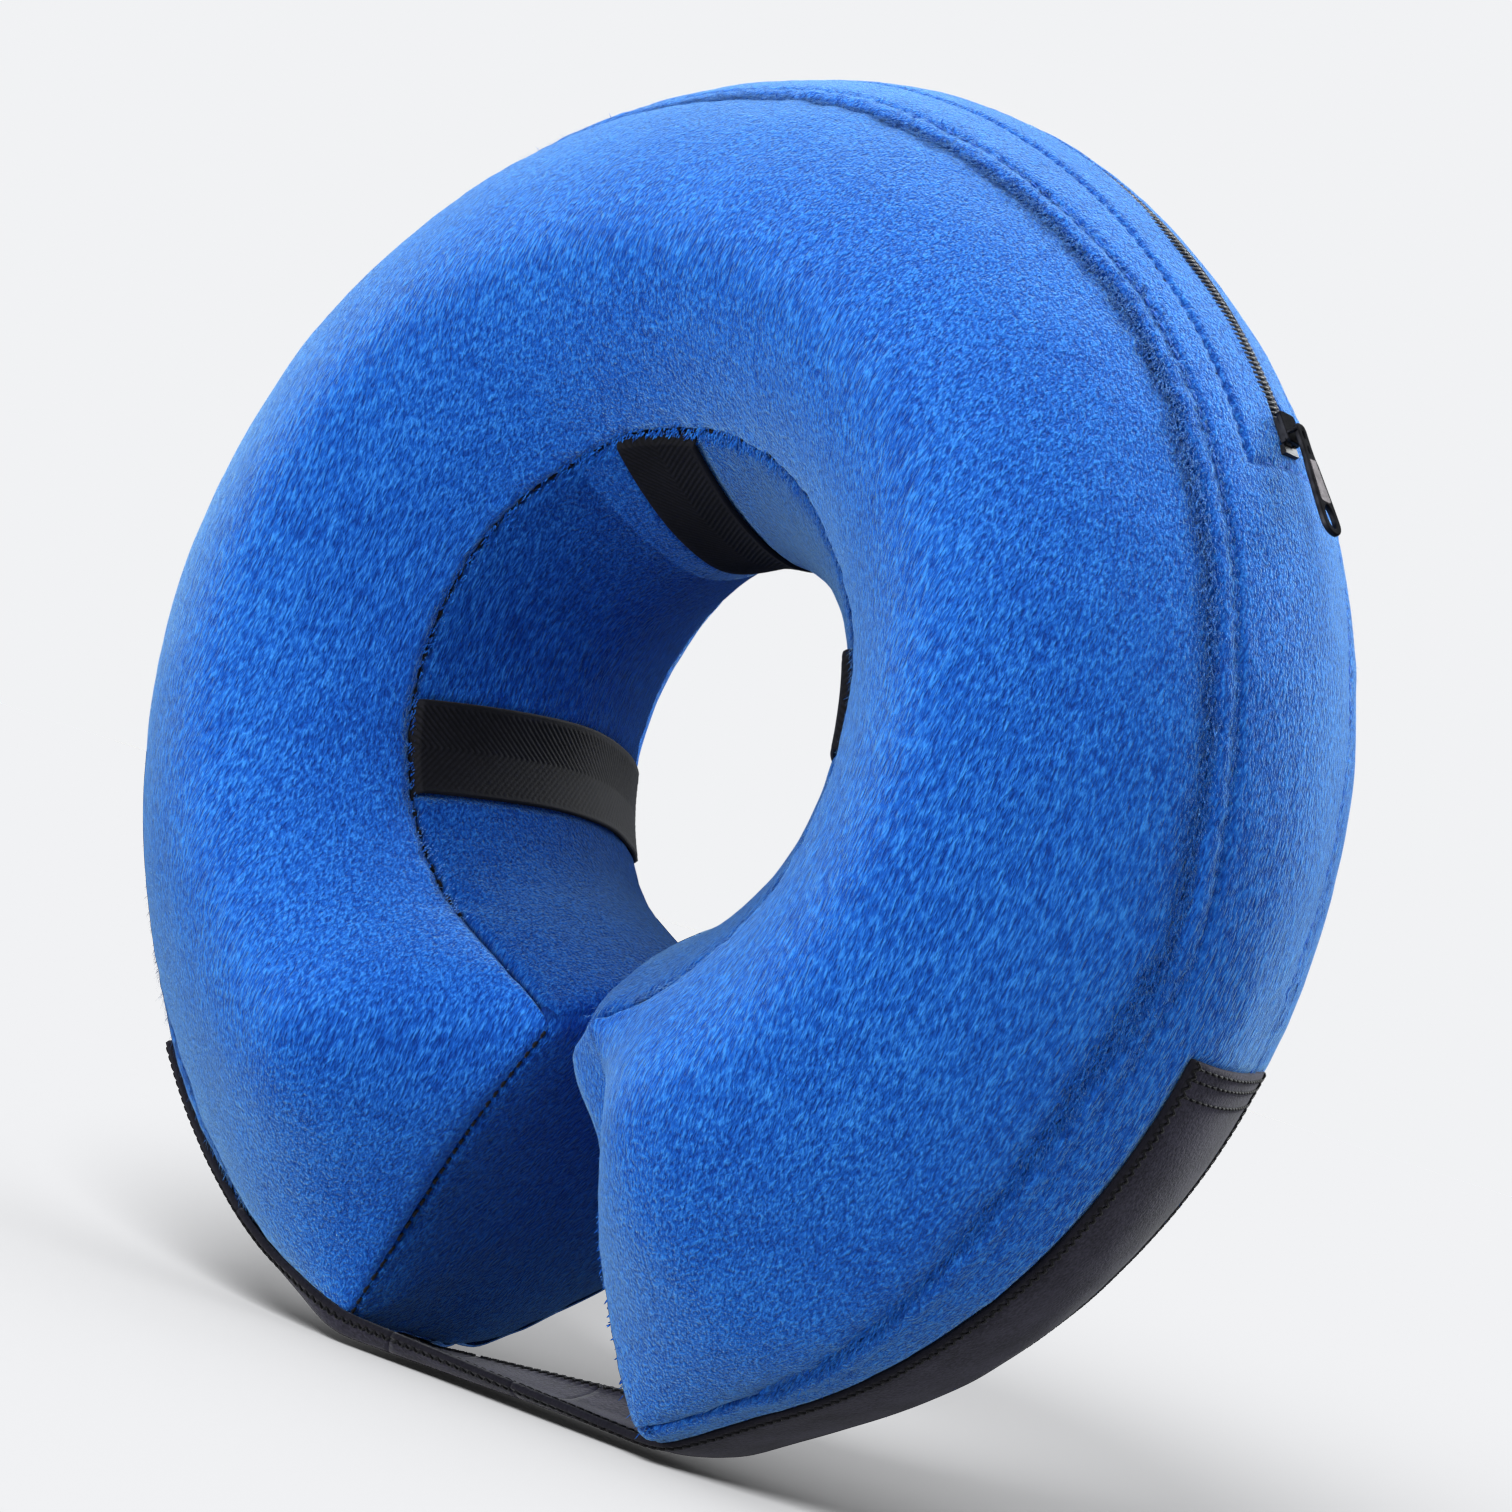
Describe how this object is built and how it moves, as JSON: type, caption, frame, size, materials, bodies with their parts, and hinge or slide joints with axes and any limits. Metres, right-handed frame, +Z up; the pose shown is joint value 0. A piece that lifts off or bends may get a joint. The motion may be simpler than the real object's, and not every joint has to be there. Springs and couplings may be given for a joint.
{
  "type": "inflatable recovery collar",
  "caption": "Inflatable C-shaped ring recovery collar for a pet, in a plush zipped cover with webbing neck loops and a hook-and-loop strap closing the opening.",
  "frame": {"origin": "on the neck axis, at the middle of the neck opening's depth", "axes": "neck axis along Y with the front face towards -Y, +Z up, the ring's opening and its closing strap at the bottom"},
  "size_m": [0.36, 0.1618, 0.3614],
  "materials": {
    "plush": "short brushed pile",
    "webbing": "herringbone weave, matt",
    "hook_tape": "hook pile, matt",
    "zipper_nylon": "nylon coil and tape",
    "zipper_metal": "gunmetal plated",
    "vinyl": "smooth vinyl film"
  },
  "bodies": {
    "right_arm": {"front_panel_right": "plush", "rear_panel_right": "plush", "rim_gusset_right": "plush", "neck_band_right": "plush", "end_face_right": "plush", "bladder_right": "vinyl", "strap_sewn": "webbing", "strap_bridge_right": "webbing"},
    "crown": {"front_panel_crown": "plush", "rear_panel_crown": "plush", "rim_gusset_crown": "plush", "neck_band_crown": "plush", "bladder_crown": "vinyl", "zipper_tape_front": "zipper_nylon", "zipper_tape_rear": "zipper_nylon", "zipper_coil_front": "zipper_nylon", "zipper_coil_rear": "zipper_nylon", "zipper_stops": "zipper_metal", "top_neck_loop": "webbing", "right_neck_loop": "webbing", "valve_base": "vinyl"},
    "valve_stem": {"valve_stem": "vinyl"},
    "valve_plug": {"valve_plug": "vinyl"},
    "slider": {"zipper_slider": "zipper_metal"},
    "pull": {"zipper_pull": "zipper_metal"},
    "left_arm": {"front_panel_left": "plush", "rear_panel_left": "plush", "rim_gusset_left": "plush", "neck_band_left": "plush", "end_face_left": "plush", "bladder_left": "vinyl", "left_neck_loop": "webbing", "loop_tape_left": "webbing"},
    "strap_span": {"strap_bridge_left": "webbing"},
    "strap_fold": {"strap_middle": "webbing", "strap_hooks_middle": "hook_tape"},
    "strap_end": {"strap_tip": "webbing", "strap_hooks_tip": "hook_tape"}
  },
  "joints": [
    {"name": "right_open", "type": "hinge", "parent": "right_arm", "child": "crown", "pos_m": [0.17932, 0, -0.01569], "axis": [0, 1, 0], "range_deg": [0, 12], "stiffness_Nm_per_rad": 2},
    {"name": "left_open", "type": "hinge", "parent": "crown", "child": "left_arm", "pos_m": [-0.17932, 0, -0.01569], "axis": [0, 1, 0], "range_deg": [0, 12], "stiffness_Nm_per_rad": 2},
    {"name": "strap_peel", "type": "hinge", "parent": "right_arm", "child": "strap_span", "pos_m": [-0.0102, 0, -0.1806], "axis": [0, -1, 0], "range_deg": [0, 24]},
    {"name": "strap_unfold_middle", "type": "hinge", "parent": "strap_span", "child": "strap_fold", "pos_m": [-0.0456, 0, -0.1804], "axis": [0, -1, 0], "range_deg": [0, 20]},
    {"name": "strap_unfold_tip", "type": "hinge", "parent": "strap_fold", "child": "strap_end", "pos_m": [-0.09724, 0, -0.15562], "axis": [0, -1, 0], "range_deg": [0, 15]},
    {"name": "zip_travel", "type": "hinge", "parent": "crown", "child": "slider", "pos_m": [0, -0.002, 0], "axis": [0, -1, 0], "range_deg": [0, 76]},
    {"name": "pull_swing", "type": "hinge", "parent": "slider", "child": "pull", "pos_m": [0.14152, -0.002, 0.11698], "axis": [0, -1, 0], "range_deg": [0, 150]},
    {"name": "valve_draw", "type": "slide", "parent": "crown", "child": "valve_stem", "axis": [0.1908, 0, 0.9816], "range_m": [0, 0.005]},
    {"name": "plug_pull", "type": "slide", "parent": "valve_stem", "child": "valve_plug", "axis": [0.1908, 0, 0.9816], "range_m": [0, 0.0075]}
  ],
  "couplings": [
    {"joint": "left_open", "follows": "right_open", "ratio": 1},
    {"joint": "strap_peel", "follows": "right_open", "ratio": 2}
  ]
}
